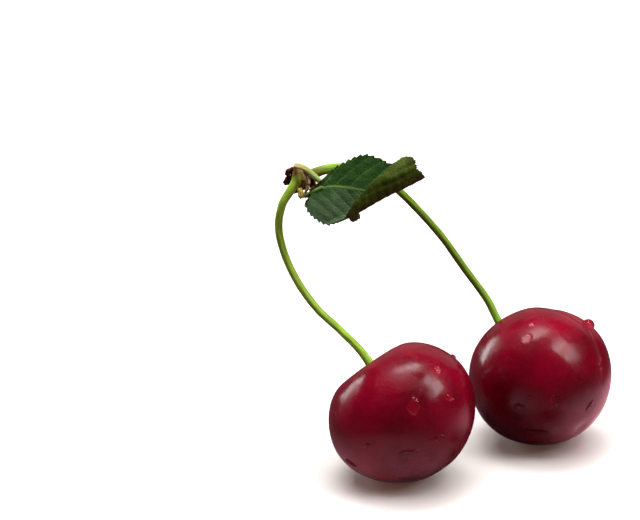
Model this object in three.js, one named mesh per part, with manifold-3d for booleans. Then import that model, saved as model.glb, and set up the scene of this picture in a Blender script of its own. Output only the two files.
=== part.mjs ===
// A pair of cherries on their stalks, as picked: two fruits, the two stalks that meet
// at a short woody bud base, a barren third flower stalk, bud scales and one small leaf
// whose lower margin is rolled up.
//
// Frame: millimetres, +Z up. The pair stands on its two fruits on the plane z = 0, with
// the joined ends of the stalks in the air above and to the left, as seen looking along +Y.
// Everything is laid out from the point where the left fruit touches the plane, and the
// whole group is moved at the end so that its origin is the bottom centre of its box.

import * as THREE from 'three';
import { mergeVertices } from 'three/addons/utils/BufferGeometryUtils.js';
import Module from 'manifold-3d';

const wasm = await Module();
wasm.setup();

// ---------------------------------------------------------------- driving dimensions

// A fruit: half of its thickness (the suture side to the back), half of its width, the
// height of its shoulders and the depth of its blossom end from the widest section.
const FRUITS = [
  {
    name: 'cherry_left',
    halfThickness: 12.0,
    halfWidth: 12.55,
    above: 11.2,
    below: 11.7,
    shoulderDip: 0.3,
    stem: [-0.55, 0.44, 0.71],
    suture: [0.27, 0.9, -0.35],
    spot: [0, 0],
  },
  {
    name: 'cherry_right',
    halfThickness: 12.0,
    halfWidth: 12.6,
    above: 12.5,
    below: 11.6,
    shoulderDip: 0.6,
    stem: [-0.545, 0.655, 0.525],
    suture: [0.65, -0.06, 0.76],
    spot: [23.8, 14.5],
  },
];
const ROUNDNESS = 1.9;          // 2 is an ellipse, less is a little more pointed
const CAVITY_DEPTH = 4.4;       // the funnel that the stalk stands in
const CAVITY_RADIUS = 4.4;
const SCAR_DEPTH = 0.35;        // the dimple left by the flower
const SCAR_RADIUS = 1.4;
const SUTURE_DEPTH = 0.33;
const SUTURE_HALF_WIDTH = 1.6;
const SHOULDER_HALF_WIDTH = 5.0;
const SETTLE = 0.3;             // how much of its round underside each fruit has flattened
const FRUIT_COLUMNS = 44;
const FRUIT_ROWS = 30;

const STALK_LIFT = 0.45;        // the gap under a stalk's foot in its funnel
const STALK_RADIUS = 0.62;
const STALK_FRUIT_FLARE = 0.2;  // extra radius where a stalk widens into the fruit
const STALK_BUD_FLARE = 0.22;   // extra radius where it widens into the bud base
const STALK_SIDES = 10;
const STALK_STEPS = 34;

const LEAF_THICKNESS = 0.45;
const PETIOLE_RADIUS = 0.34;
const ROLL_RADIUS_NARROW = 1.0;
const ROLL_RADIUS_WIDE = 2.2;
const ROLL_TAPER_LENGTH = 12;

// ---------------------------------------------------------------- colours

const FRUIT_SKIN = { color: 0x6e0616, roughness: 0.18, metalness: 0 };
const STALK_SKIN = { color: 0x6f9a2b, roughness: 0.5, metalness: 0 };
const LEAF_SKIN = { color: 0x2f4f2c, roughness: 0.55, metalness: 0 };
const BARK = { color: 0x4b3424, roughness: 0.9, metalness: 0 };
const DRY_SCALE = { color: 0x3a1f16, roughness: 0.85, metalness: 0 };
const PAPERY_BRACT = { color: 0xa97b4c, roughness: 0.8, metalness: 0 };

// ---------------------------------------------------------------- helpers

const pair = new THREE.Group();

function addPiece(name, geometry, look, parent = pair) {
  const mesh = new THREE.Mesh(geometry, new THREE.MeshStandardMaterial(look));
  mesh.name = name;
  parent.add(mesh);
  return mesh;
}

function welded(geometry) {
  geometry.deleteAttribute('normal');
  geometry.deleteAttribute('uv');
  return mergeVertices(geometry, 1e-4);
}

function toSolid(geometry) {
  const position = geometry.attributes.position;
  return new wasm.Manifold(new wasm.Mesh({
    numProp: 3,
    vertProperties: new Float32Array(position.array),
    triVerts: new Uint32Array(geometry.index.array),
  }));
}

function fromSolid(solid) {
  const mesh = solid.getMesh();
  const geometry = new THREE.BufferGeometry();
  geometry.setAttribute('position', new THREE.BufferAttribute(mesh.vertProperties, 3));
  geometry.setIndex(new THREE.BufferAttribute(mesh.triVerts, 1));
  geometry.computeVertexNormals();
  return geometry;
}

function eachVertex(geometry, move) {
  const position = geometry.attributes.position;
  const point = new THREE.Vector3();
  for (let i = 0; i < position.count; i += 1) {
    point.fromBufferAttribute(position, i);
    move(point);
    position.setXYZ(i, point.x, point.y, point.z);
  }
  return geometry;
}

// A frame whose z runs along one direction and whose x leans towards another.
function frameAlong(direction, towards) {
  const z = new THREE.Vector3(...direction).normalize();
  const x = new THREE.Vector3(...towards);
  x.addScaledVector(z, -x.dot(z)).normalize();
  const y = new THREE.Vector3().crossVectors(z, x);
  return new THREE.Matrix4().makeBasis(x, y, z);
}

function smoothStep(edge0, edge1, value) {
  return THREE.MathUtils.smoothstep(value, edge0, edge1);
}

// ---------------------------------------------------------------- the fruits

// Turns a point of the unit sphere (stem pole at +z, suture at +x) into a point of the
// fruit: an ovoid with a funnel at the stem, a dimple at the blossom end and a shallow
// groove down one side, which is broad where it leaves the funnel.
function shapeFruit(point, fruit) {
  const ring = Math.hypot(point.x, point.y);
  const high = Math.max(point.z, 0);
  const fullness = (ring ** ROUNDNESS + Math.abs(point.z) ** ROUNDNESS) ** (-1 / ROUNDNESS);
  const reach = point.z > 0 ? fruit.above : fruit.below;
  const grooved = ring * smoothStep(-0.25, 0.25, point.x);
  point.set(
    fruit.halfThickness * fullness * point.x,
    fruit.halfWidth * fullness * point.y,
    reach * fullness * point.z,
  );
  const out = Math.hypot(point.x, point.y);
  if (high > 0) point.z -= CAVITY_DEPTH * Math.exp(-((out / CAVITY_RADIUS) ** 2));
  else point.z += SCAR_DEPTH * Math.exp(-((out / SCAR_RADIUS) ** 2));
  const narrow = SUTURE_DEPTH * Math.exp(-((point.y / SUTURE_HALF_WIDTH) ** 2));
  const broad = fruit.shoulderDip * high * Math.exp(-((point.y / SHOULDER_HALF_WIDTH) ** 2));
  point.multiplyScalar(1 - grooved * (narrow + broad) / point.length());
}

function fruitGeometry(fruit) {
  const sphere = new THREE.SphereGeometry(1, FRUIT_COLUMNS, FRUIT_ROWS);
  const geometry = welded(sphere.rotateX(Math.PI / 2));
  return eachVertex(geometry, (point) => shapeFruit(point, fruit));
}

// The fruit is turned as it lies, set down until its underside has flattened by SETTLE,
// and cut off level with the plane that it rests on.
function addFruit(fruit) {
  const geometry = fruitGeometry(fruit);
  const turn = frameAlong(fruit.stem, fruit.suture);
  geometry.applyMatrix4(turn);
  geometry.computeBoundingBox();
  const centre = new THREE.Vector3(...fruit.spot, -geometry.boundingBox.min.z - SETTLE);
  geometry.translate(...centre.toArray());
  const below = new THREE.BoxGeometry(60, 60, 10).translate(centre.x, centre.y, -5);
  const resting = fromSolid(toSolid(geometry).subtract(toSolid(welded(below))));
  const place = turn.clone().setPosition(centre);
  resting.applyMatrix4(place.clone().invert());
  const mesh = addPiece(fruit.name, resting, FRUIT_SKIN);
  mesh.applyMatrix4(place);
  return place;
}

// ---------------------------------------------------------------- stalks

// A closed round rod along a smooth curve, with a radius that follows a function of the
// way along it, from 0 to 1.
function rodGeometry(points, radiusAt, sides = STALK_SIDES, steps = STALK_STEPS) {
  const curve = new THREE.CatmullRomCurve3(points, false, 'centripetal');
  const frames = curve.computeFrenetFrames(steps);
  const geometry = welded(new THREE.CylinderGeometry(1, 1, steps, sides, steps));
  return eachVertex(geometry, (point) => {
    const step = Math.round(point.y + steps / 2);
    const along = step / steps;
    const radius = radiusAt(along);
    const { x, z } = point;
    curve.getPointAt(along, point);
    point.addScaledVector(frames.binormals[step], radius * x);
    point.addScaledVector(frames.normals[step], radius * z);
  });
}

function stalkRadius(along) {
  const fruitEnd = STALK_FRUIT_FLARE * Math.exp(-((along / 0.08) ** 2));
  const budEnd = STALK_BUD_FLARE * Math.exp(-(((1 - along) / 0.12) ** 2));
  return STALK_RADIUS + fruitEnd + budEnd;
}

// Points of each fruiting stalk after it leaves its fruit, from the fruit to the bud base.
const LEFT_STALK = [
  [-6.5, 5.2, 19.9], [-10.1, 7.8, 22.8], [-13.6, 9.7, 25.5], [-16.7, 11.4, 29.3],
  [-19.1, 12.9, 34.0], [-20.1, 13.6, 38.4], [-19.5, 13.9, 42.4], [-18.3, 14.3, 44.5],
  [-17.1, 14.7, 46.1], [-16.6, 15.1, 47.9],
];
const RIGHT_STALK = [
  [17.0, 22.6, 18.1], [15.1, 24.1, 21.5], [11.3, 24.6, 26.8], [6.9, 23.9, 33.4],
  [2.3, 22.6, 39.2], [-0.8, 21.4, 42.7], [-4.2, 20.0, 45.5], [-7.6, 19.0, 47.1],
  [-10.8, 18.2, 47.3], [-12.8, 17.7, 47.1], [-14.2, 17.4, 46.7],
];

function addStalk(name, fruit, place, points) {
  const floor = fruit.above - CAVITY_DEPTH;
  const foot = new THREE.Vector3(0, 0, floor + STALK_LIFT).applyMatrix4(place);
  const route = [foot, ...points.map((p) => new THREE.Vector3(...p))];
  addPiece(name, rodGeometry(route, stalkRadius), STALK_SKIN);
}

// The barren stalk never set a fruit: it is thick where it joins the others and ends in
// the shrivelled cup of its flower.
const BARREN_STALK = [
  [-17.0, 13.3, 49.3], [-15.7, 13.4, 48.7], [-14.2, 13.9, 47.3], [-12.2, 14.7, 45.0],
  [-9.2, 14.4, 42.3], [-7.9, 13.8, 40.9], [-7.2, 13.4, 40.2],
];

function barrenRadius(along) {
  const joined = 0.08 * Math.exp(-((along / 0.3) ** 2));
  const cup = 0.4 * smoothStep(0.84, 0.95, along) - 0.5 * smoothStep(0.95, 1, along);
  return 0.46 + joined + cup;
}

function addBarrenStalk() {
  const route = BARREN_STALK.map((p) => new THREE.Vector3(...p));
  addPiece('barren_stalk', rodGeometry(route, barrenRadius, STALK_SIDES, 24), STALK_SKIN);
}

// ---------------------------------------------------------------- the bud base

// The woody end of the short shoot that the stalks grew from, with the rings of old
// scales round it and the scar of the break at its far end.
function addBudBase() {
  const ring = 0.14;
  const profile = [
    [0, 0], [0.95, 0], [1.2, 0.5], [1.2 + ring, 0.8], [1.2, 1.1], [1.25 + ring, 1.5],
    [1.2, 1.9], [1.2 + ring, 2.3], [1.15, 2.7], [1.0, 3.1], [0, 3.2],
  ].map(([radius, height]) => new THREE.Vector2(radius, height));
  const geometry = welded(new THREE.LatheGeometry(profile, 18).rotateX(Math.PI / 2));
  const mesh = addPiece('bud_base', geometry, BARK);
  mesh.applyMatrix4(frameAlong([-0.25, 0.88, 0.3], [1, 0, 0]).setPosition(-16.3, 16.3, 45.6));
}

// ---------------------------------------------------------------- scales and bracts

// A small hollow plate: narrow at its foot, widest half way up and blunt at its tip,
// bowed outwards along its length and round its middle.
function scaleGeometry({ length, width, thickness, bow, wrap }) {
  const geometry = welded(new THREE.BoxGeometry(1, 1, 1, 6, 1, 7));
  return eachVertex(geometry, (point) => {
    const along = point.z + 0.5;
    const half = 0.5 * width * (0.35 + 0.65 * Math.sin(Math.PI * along ** 0.8) ** 0.8);
    const turn = point.x * 2 * wrap;
    const radius = half / wrap + point.y * thickness;
    const rise = bow * Math.sin(Math.PI * along * 0.9);
    point.set(radius * Math.sin(turn), radius * Math.cos(turn) - half / wrap + rise, length * along);
  });
}

// Bud scales stand round the front rim of the bud base: the angle goes round from its
// right side over its top, seen from the stalks' side.
const BUD_SCALES = [
  { angle: 150, lean: 30, length: 2.1, width: 1.6 },
  { angle: 194, lean: 36, length: 1.9, width: 1.5 },
  { angle: 245, lean: 20, length: 1.9, width: 1.7 },
  { angle: 330, lean: 24, length: 2.2, width: 1.7 },
  { angle: 103, lean: 14, length: 1.7, width: 1.4 },
];

function addBudScales() {
  const base = new THREE.Vector3(-16.4, 17.9, 46.0);
  BUD_SCALES.forEach(({ angle, lean, length, width }, i) => {
    const round = THREE.MathUtils.degToRad(angle);
    const out = new THREE.Vector3(Math.cos(round), 0, Math.sin(round));
    const tilt = THREE.MathUtils.degToRad(lean);
    const up = new THREE.Vector3(0, -Math.cos(tilt), 0).addScaledVector(out, Math.sin(tilt));
    const side = new THREE.Vector3().crossVectors(out, up);
    const size = { length, width, thickness: 0.36, bow: 0.2, wrap: 0.7 };
    const mesh = addPiece(`bud_scale_${i + 1}`, scaleGeometry(size), DRY_SCALE);
    const foot = base.clone().addScaledVector(out, 1.95);
    mesh.applyMatrix4(frameAlong(up.toArray(), side.toArray()).setPosition(foot));
  });
}

// The papery bract that wrapped the flowers, and the small yellow one at the leaf's foot.
function addBracts() {
  const bract = { length: 3.4, width: 0.9, thickness: 0.34, bow: 0.8, wrap: 0.6 };
  const papery = addPiece('papery_bract', scaleGeometry(bract), PAPERY_BRACT);
  const turned = frameAlong([-0.1, 0, 1], [0, -1, 0]);
  papery.applyMatrix4(turned.setPosition(-15.9, 13.75, 44.5));
  const stipule = { length: 1.7, width: 0.8, thickness: 0.3, bow: 0.15, wrap: 0.6 };
  const yellow = addPiece('stipule', scaleGeometry(stipule), PAPERY_BRACT);
  const hung = frameAlong([0.2, -0.3, -0.93], [1, 0, 0.2]);
  yellow.applyMatrix4(hung.setPosition(-16.9, 13.6, 45.6));
}

// ---------------------------------------------------------------- the leaf

// The leaf laid flat: x along it from its foot, y across it away from the margin that rolls.
const UPPER_MARGIN = [
  [0, 0], [2.6, 2.4], [5.4, 4.3], [9.3, 5.7], [13.7, 3.9], [18.4, 1.6], [19.6, -2.0],
];
const LOWER_MARGIN = [
  [0, -0.4], [-0.5, -2.9], [2.0, -5.3], [5.2, -5.4], [8.4, -6.3], [13.7, -6.1], [19.6, -5.4],
  [20.7, -3.6], [19.6, -2.0],
];
const LEAF_FOOT = [-15.0, 12.3, 45.4];
const LEAF_FACE = [0, -0.88, 0.475];
const LEAF_LENGTHWAYS = [0.99, 0.13, -0.05];

// The lower margin turns up and over along this line.
const ROLL_START = new THREE.Vector2(4.7, -5.2);
const ROLL_ALONG = new THREE.Vector2(13.7, 6.8).normalize();
const ROLL_ACROSS = new THREE.Vector2(ROLL_ALONG.y, -ROLL_ALONG.x);

// Where a point of the flat leaf lies once the margin has rolled: z is up off the face.
function rolled(flat) {
  const from = flat.clone().sub(ROLL_START);
  const along = from.dot(ROLL_ALONG);
  const grown = THREE.MathUtils.clamp((along + 1) / ROLL_TAPER_LENGTH, 0, 1);
  const radius = THREE.MathUtils.lerp(ROLL_RADIUS_NARROW, ROLL_RADIUS_WIDE, grown);
  const past = from.dot(ROLL_ACROSS) + radius;
  if (past <= 0) return new THREE.Vector3(flat.x, flat.y, 0);
  const turn = past / radius;
  const place = ROLL_START.clone().addScaledVector(ROLL_ALONG, along);
  place.addScaledVector(ROLL_ACROSS, radius * (Math.sin(turn) - 1));
  return new THREE.Vector3(place.x, place.y, radius * (1 - Math.cos(turn)));
}

function bladeGeometry() {
  const upper = new THREE.SplineCurve(UPPER_MARGIN.map((p) => new THREE.Vector2(...p)));
  const lower = new THREE.SplineCurve(LOWER_MARGIN.map((p) => new THREE.Vector2(...p)));
  const nudge = 0.01;
  const geometry = welded(new THREE.BoxGeometry(1, 1, 1, 24, 18, 1));
  return eachVertex(geometry, (point) => {
    const along = point.x + 0.5;
    const depth = point.z * LEAF_THICKNESS;
    const flat = lower.getPoint(along).lerp(upper.getPoint(along), point.y + 0.5);
    const here = rolled(flat);
    const lengthways = rolled(new THREE.Vector2(flat.x + nudge, flat.y)).sub(here);
    const sideways = rolled(new THREE.Vector2(flat.x, flat.y + nudge)).sub(here);
    const face = lengthways.cross(sideways).normalize();
    point.copy(here).addScaledVector(face, depth);
  });
}

function addLeaf() {
  const face = new THREE.Vector3(...LEAF_FACE).normalize();
  const lengthways = new THREE.Vector3(...LEAF_LENGTHWAYS);
  lengthways.addScaledVector(face, -lengthways.dot(face)).normalize();
  const across = new THREE.Vector3().crossVectors(face, lengthways);
  const place = new THREE.Matrix4().makeBasis(lengthways, across, face);
  place.setPosition(...LEAF_FOOT);
  const petiole = [[-0.9, -0.9, -1.0], [-0.3, -0.5, -0.5], [0.8, 0, -0.1], [2.2, 0.6, 0]];
  const route = petiole.map((p) => new THREE.Vector3(...p));
  const rod = rodGeometry(route, () => PETIOLE_RADIUS, 8, 8);
  const whole = toSolid(bladeGeometry()).add(toSolid(rod));
  addPiece('leaf', fromSolid(whole), LEAF_SKIN).applyMatrix4(place);
}

// ---------------------------------------------------------------- assembly

const [leftPlace, rightPlace] = FRUITS.map(addFruit);
addStalk('stalk_left', FRUITS[0], leftPlace, LEFT_STALK);
addStalk('stalk_right', FRUITS[1], rightPlace, RIGHT_STALK);
addBarrenStalk();
addBudBase();
addBudScales();
addBracts();
addLeaf();

const box = new THREE.Box3().setFromObject(pair, true);
const middle = box.getCenter(new THREE.Vector3());
pair.position.set(-middle.x, -middle.y, -box.min.z);

export default pair;
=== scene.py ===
"""A pair of cherries on their stalks: the finished look, built round the fixed frame.

Every piece is shaped in millimetres, measured from the point where the left fruit touches
the floor, and is then moved to the frame's own origin and turned to metres.
"""

import math

import bmesh
import bpy
from bpy.props import FloatProperty, FloatVectorProperty, IntProperty, PointerProperty
from mathutils import Matrix, Vector, noise
from mathutils.bvhtree import BVHTree


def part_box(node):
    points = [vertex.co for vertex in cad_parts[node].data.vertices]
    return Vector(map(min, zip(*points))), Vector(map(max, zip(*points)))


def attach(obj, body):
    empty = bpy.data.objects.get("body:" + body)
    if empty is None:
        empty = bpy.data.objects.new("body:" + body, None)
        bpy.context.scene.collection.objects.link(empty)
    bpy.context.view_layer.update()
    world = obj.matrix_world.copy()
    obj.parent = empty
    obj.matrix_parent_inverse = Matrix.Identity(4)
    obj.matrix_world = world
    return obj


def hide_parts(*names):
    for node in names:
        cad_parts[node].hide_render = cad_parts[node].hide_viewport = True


bl_info = {
    "name": "Cherries on stalks",
    "version": (1, 0, 0),
    "blender": (4, 5, 0),
    "location": "3D View > Sidebar > Cherries",
    "description": "Builds a pair of cherries on their stalks, with a bud base and a rolled leaf",
    "category": "Add Mesh",
}

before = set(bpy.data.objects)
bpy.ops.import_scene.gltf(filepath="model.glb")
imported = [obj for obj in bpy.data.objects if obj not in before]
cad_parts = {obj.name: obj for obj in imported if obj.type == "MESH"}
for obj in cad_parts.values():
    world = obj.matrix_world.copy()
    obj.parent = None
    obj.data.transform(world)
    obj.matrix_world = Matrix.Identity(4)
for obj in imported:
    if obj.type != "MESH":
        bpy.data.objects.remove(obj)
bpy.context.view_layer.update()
METRES = 0.001
# The frame's origin lies under the middle of the whole pair; this is where the left
# fruit's resting point is, in millimetres from there, and how far off the frame's own
# fruit may lie.
RESTING_POINT = Vector((-7.49, -7.49, 0.0))
PLACE_TOLERANCE = 1.0
TO_FRAME = Matrix.Scale(METRES, 4) @ Matrix.Translation(RESTING_POINT)


# ------------------------------------------------------------------ colours and nodes


def linear(code):
    """Turns an sRGB hex colour into the linear one that a shader takes."""
    parts = [int(code[i : i + 2], 16) / 255 for i in (1, 3, 5)]
    return tuple(c / 12.92 if c <= 0.04045 else ((c + 0.055) / 1.055) ** 2.4 for c in parts) + (1.0,)


def add_node(tree, kind, inputs=None, **settings):
    """Adds a shader node with its settings, and sets or links each input that is given."""
    node = tree.nodes.new("ShaderNode" + kind)
    for key, value in settings.items():
        setattr(node, key, value)
    for key, value in (inputs or {}).items():
        if isinstance(value, bpy.types.NodeSocket):
            tree.links.new(value, node.inputs[key])
        else:
            node.inputs[key].default_value = value
    return node


def new_finish(name):
    """A material with nothing in it, and its node tree."""
    finish = bpy.data.materials.new(name)
    finish.use_nodes = True
    finish.node_tree.nodes.clear()
    return finish, finish.node_tree


# ------------------------------------------------------------------ shaping helpers


def smooth_step(low, high, value):
    """0 below the first edge, 1 above the second, and a smooth rise between them."""
    t = min(max((value - low) / (high - low), 0.0), 1.0)
    return t * t * (3 - 2 * t)


def bump_at(value, width):
    """1 at nothing, falling away smoothly to both sides over the given width."""
    return math.exp(-((value / width) ** 2))


def uneven(x, y, z):
    """A smooth random height, the same on every run."""
    return noise.noise(Vector((x, y, z)))


def frame_along(direction, towards):
    """A turn whose z runs along one direction and whose x leans towards another."""
    z = Vector(direction).normalized()
    x = Vector(towards)
    x = (x - z * x.dot(z)).normalized()
    y = z.cross(x)
    return Matrix((x, y, z)).transposed().to_4x4()


def placed(turn, spot):
    """A turn carried to a spot."""
    return Matrix.Translation(Vector(spot)) @ turn


def through(points, t):
    """The point at t, from 0 to 1, of an even smooth curve through flat points."""
    last = len(points) - 1
    step = min(int(t * last), last - 1)
    w = t * last - step
    p0, p1, p2, p3 = (
        Vector(points[max(step - 1, 0)]),
        Vector(points[step]),
        Vector(points[step + 1]),
        Vector(points[min(step + 2, last)]),
    )
    v0, v1 = (p2 - p0) * 0.5, (p3 - p1) * 0.5
    return ((2 * p1 - 2 * p2 + v0 + v1) * w**3 + (-3 * p1 + 3 * p2 - 2 * v0 - v1) * w**2 + v0 * w + p1)


def route_through(points, count):
    """Evenly spaced points of the smooth curve that a stalk follows through its points."""
    pts = [Vector(p) for p in points]
    pts = [2 * pts[0] - pts[1]] + pts + [2 * pts[-1] - pts[-2]]
    dense = []
    for p0, p1, p2, p3 in zip(pts, pts[1:], pts[2:], pts[3:]):
        d0, d1, d2 = (math.sqrt((b - a).length) for a, b in ((p0, p1), (p1, p2), (p2, p3)))
        t1 = ((p1 - p0) / d0 - (p2 - p0) / (d0 + d1) + (p2 - p1) / d1) * d1
        t2 = ((p2 - p1) / d1 - (p3 - p1) / (d1 + d2) + (p3 - p2) / d2) * d1
        for k in range(30):
            w = k / 30
            dense.append(
                p1 + t1 * w + (3 * (p2 - p1) - 2 * t1 - t2) * w * w + (2 * (p1 - p2) + t1 + t2) * w**3
            )
    dense.append(pts[-2])
    run = [0.0]
    for a, b in zip(dense, dense[1:]):
        run.append(run[-1] + (b - a).length)
    even, k = [], 0
    for i in range(count + 1):
        want = run[-1] * i / count
        while k < len(run) - 2 and run[k + 1] < want:
            k += 1
        part = (want - run[k]) / (run[k + 1] - run[k])
        even.append(dense[k].lerp(dense[k + 1], part))
    return even, run[-1]


def carried_frames(path):
    """Two directions square to the path at each of its points, carried on without twist."""
    frames = []
    side = None
    for i, here in enumerate(path):
        ahead = (path[min(i + 1, len(path) - 1)] - path[max(i - 1, 0)]).normalized()
        if side is None:
            side = ahead.orthogonal().normalized()
        side = (side - ahead * side.dot(ahead)).normalized()
        frames.append((side, ahead.cross(side)))
    return frames


def rod_mesh():
    """An empty mesh whose vertices can keep how they lie along and round a rod."""
    mesh = bmesh.new()
    mesh.verts.layers.float.new("along")
    mesh.verts.layers.float_vector.new("grain")
    return mesh


def rod(mesh, points, radius_at, sides, rings):
    """Bends a round ball of rings into a closed rod along a smooth route.

    radius_at takes the way along, from 0 to 1, and the angle round. Each vertex keeps how
    far along it is, and where it lies round the rod, for the grain of the finish.
    """
    path, length = route_through(points, rings)
    frames = carried_frames(path)
    along_layer = mesh.verts.layers.float["along"]
    grain_layer = mesh.verts.layers.float_vector["grain"]
    made = bmesh.ops.create_uvsphere(mesh, u_segments=sides, v_segments=rings, radius=1)
    for vertex in made["verts"]:
        ring = round(math.acos(max(-1.0, min(1.0, vertex.co.z))) / math.pi * rings)
        angle = math.atan2(vertex.co.y, vertex.co.x)
        along = ring / rings
        radius = radius_at(along, angle)
        for end in (along * length, (1 - along) * length):
            if end < radius:
                radius *= math.sqrt(max(0.0, 1 - (1 - end / radius) ** 2))
        side, other = frames[ring]
        vertex.co = path[ring] + (side * math.cos(angle) + other * math.sin(angle)) * radius
        vertex[along_layer] = along
        vertex[grain_layer] = Vector((math.cos(angle), math.sin(angle), along * length))
    return made["verts"]


def thicken(mesh, thickness):
    """Gives an open sheet a back at an even distance, closes its edge, and returns the back."""
    mesh.normal_update()
    facing = {vertex.co.copy().freeze(): vertex.normal.copy() for vertex in mesh.verts}
    made = bmesh.ops.extrude_face_region(mesh, geom=list(mesh.faces), use_keep_orig=True)
    back = [item for item in made["geom"] if isinstance(item, bmesh.types.BMVert)]
    for vertex in back:
        vertex.co -= facing[vertex.co.copy().freeze()] * thickness
    return back


def as_object(name, mesh, finish):
    """A finished mesh as an object in the scene."""
    data = bpy.data.meshes.new(name)
    mesh.to_mesh(data)
    mesh.free()
    data.materials.append(finish)
    made = bpy.data.objects.new(name, data)
    bpy.context.scene.collection.objects.link(made)
    return made


def make_piece(name, mesh, node, finish, place=Matrix()):
    """Closes a piece: moves it into the frame, gives it its finish, hangs it on the root body and hides the
    part that it takes the place of.
    """
    for move in (place, TO_FRAME):
        bmesh.ops.transform(mesh, matrix=move, verts=mesh.verts)
    bmesh.ops.recalc_face_normals(mesh, faces=mesh.faces)
    for face in mesh.faces:
        face.smooth = True
    piece = as_object(name, mesh, finish)
    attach(piece, "root")
    if node:
        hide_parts(node)
    return piece


# ------------------------------------------------------------------ settings


def size_in_mm(name, description, default, least=0.0):
    """A setting that holds a size in millimetres."""
    return FloatProperty(name=name, description=description, default=default, min=least)


def colour(name, description, code):
    """A setting that holds a colour, given as an sRGB hex code."""
    return FloatVectorProperty(
        name=name, description=description, subtype="COLOR", size=4, default=linear(code)
    )


class FruitSettings(bpy.types.PropertyGroup):
    """Sizes and colours of the fruits."""

    columns: IntProperty(name="Columns", description="Faces round a fruit", default=220, min=16)
    rows: IntProperty(name="Rows", description="Faces from the stalk to the tip", default=170, min=12)
    cavity_depth: size_in_mm("Cavity depth", "Depth of the funnel that the stalk stands in, in mm", 4.4)
    suture_depth: size_in_mm("Suture depth", "Depth of the groove down one side, in mm", 0.33)
    skin: colour("Skin", "Colour of the skin where it is lit evenly", "#86001f")
    deep_skin: colour("Deep skin", "Colour of the darker clouds in the skin", "#5f0012")


class StalkSettings(bpy.types.PropertyGroup):
    """Sizes and colours of the stalks."""

    radius: size_in_mm("Radius", "Radius at mid length, in mm", 0.62, 0.1)
    fruit_flare: size_in_mm("Flare at the fruit", "Extra radius in mm", 0.2)
    bud_flare: size_in_mm("Flare at the bud base", "Extra radius in mm", 0.22)
    bright_green: colour("Bright green", "Colour of the lit, fresh stalk", "#b0d242")
    deep_green: colour("Deep green", "Colour of the grain lines in a stalk", "#7ba329")


class LeafSettings(bpy.types.PropertyGroup):
    """Sizes and colours of the leaf."""

    thickness: size_in_mm("Thickness", "Thickness of the blade in mm", 0.3, 0.05)
    tooth_height: size_in_mm("Tooth height", "Height of a margin tooth in mm", 0.36)
    tooth_pitch: size_in_mm("Tooth spacing", "Distance between teeth in mm", 1.05, 0.3)
    vein_pitch: size_in_mm("Vein spacing", "Distance between side veins in mm", 2.2, 0.5)
    upper_face: colour("Upper face", "Colour of the upper face", "#2b4c16")
    under_face: colour("Under face", "Colour of the under face", "#48580e")


class StageSettings(bpy.types.PropertyGroup):
    """The floor, the light and the camera."""

    lens: FloatProperty(name="Lens", description="Focal length in millimetres", default=172.1, min=10.0)
    drop: FloatProperty(
        name="Camera drop",
        description="How far the camera looks down from level",
        subtype="ANGLE",
        default=math.radians(21),
    )
    floor_size: FloatProperty(
        name="Floor", description="Width of the floor", unit="LENGTH", default=12.0, min=0.5
    )
    key_power: FloatProperty(
        name="Key power", description="Power of the wide light overhead in watts", default=33.0, min=0.0
    )


# ------------------------------------------------------------------ the fruits

# Half of a fruit's thickness from its suture to its back, half of its width, how far its
# shoulders and its tip lie from its widest section, the dip across its shoulders, the
# directions of its stalk and its suture, and the spot where it stands.
FRUITS = (
    {
        "name": "left",
        "half_thickness": 12.0,
        "half_width": 12.55,
        "above": 11.2,
        "below": 11.7,
        "shoulder_dip": 0.3,
        "stalk": (-0.55, 0.44, 0.71),
        "suture": (0.27, 0.9, -0.35),
        "spot": (0.0, 0.0),
    },
    {
        "name": "right",
        "half_thickness": 12.0,
        "half_width": 12.6,
        "above": 12.5,
        "below": 11.6,
        "shoulder_dip": 0.6,
        "stalk": (-0.545, 0.655, 0.525),
        "suture": (0.65, -0.06, 0.76),
        "spot": (23.8, 14.5),
    },
)
# The power of a fruit's outline, 2 for a round one. Then, in millimetres: the funnel of the
# stalk, the scar at the tip, the suture and its crease, the lumps and pleats of the flesh,
# the height up to which the skin bends to lie flat, how far a fruit settles, and how high
# over the floor of the funnel its stalk starts.
ROUNDNESS = 1.9
CAVITY_RADIUS = 4.4
SCAR_DEPTH = 0.35
SCAR_RADIUS = 1.4
SUTURE_HALF_WIDTH = 1.6
CREASE_DEPTH = 0.11
CREASE_HALF_WIDTH = 0.28
SHOULDER_HALF_WIDTH = 5.0
BROAD_LUMP = 0.10
SMALL_LUMP = 0.035
PLEATS = 11
PLEAT_HEIGHT = 0.06
FLAT_EDGE = 0.35
SETTLE = 0.3
STALK_LIFT = 0.45


def off_crease(point):
    """How far a point lies to the side of the thin, wandering crease in the suture."""
    return point.y - 0.25 * math.sin(point.z * 0.4)


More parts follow.
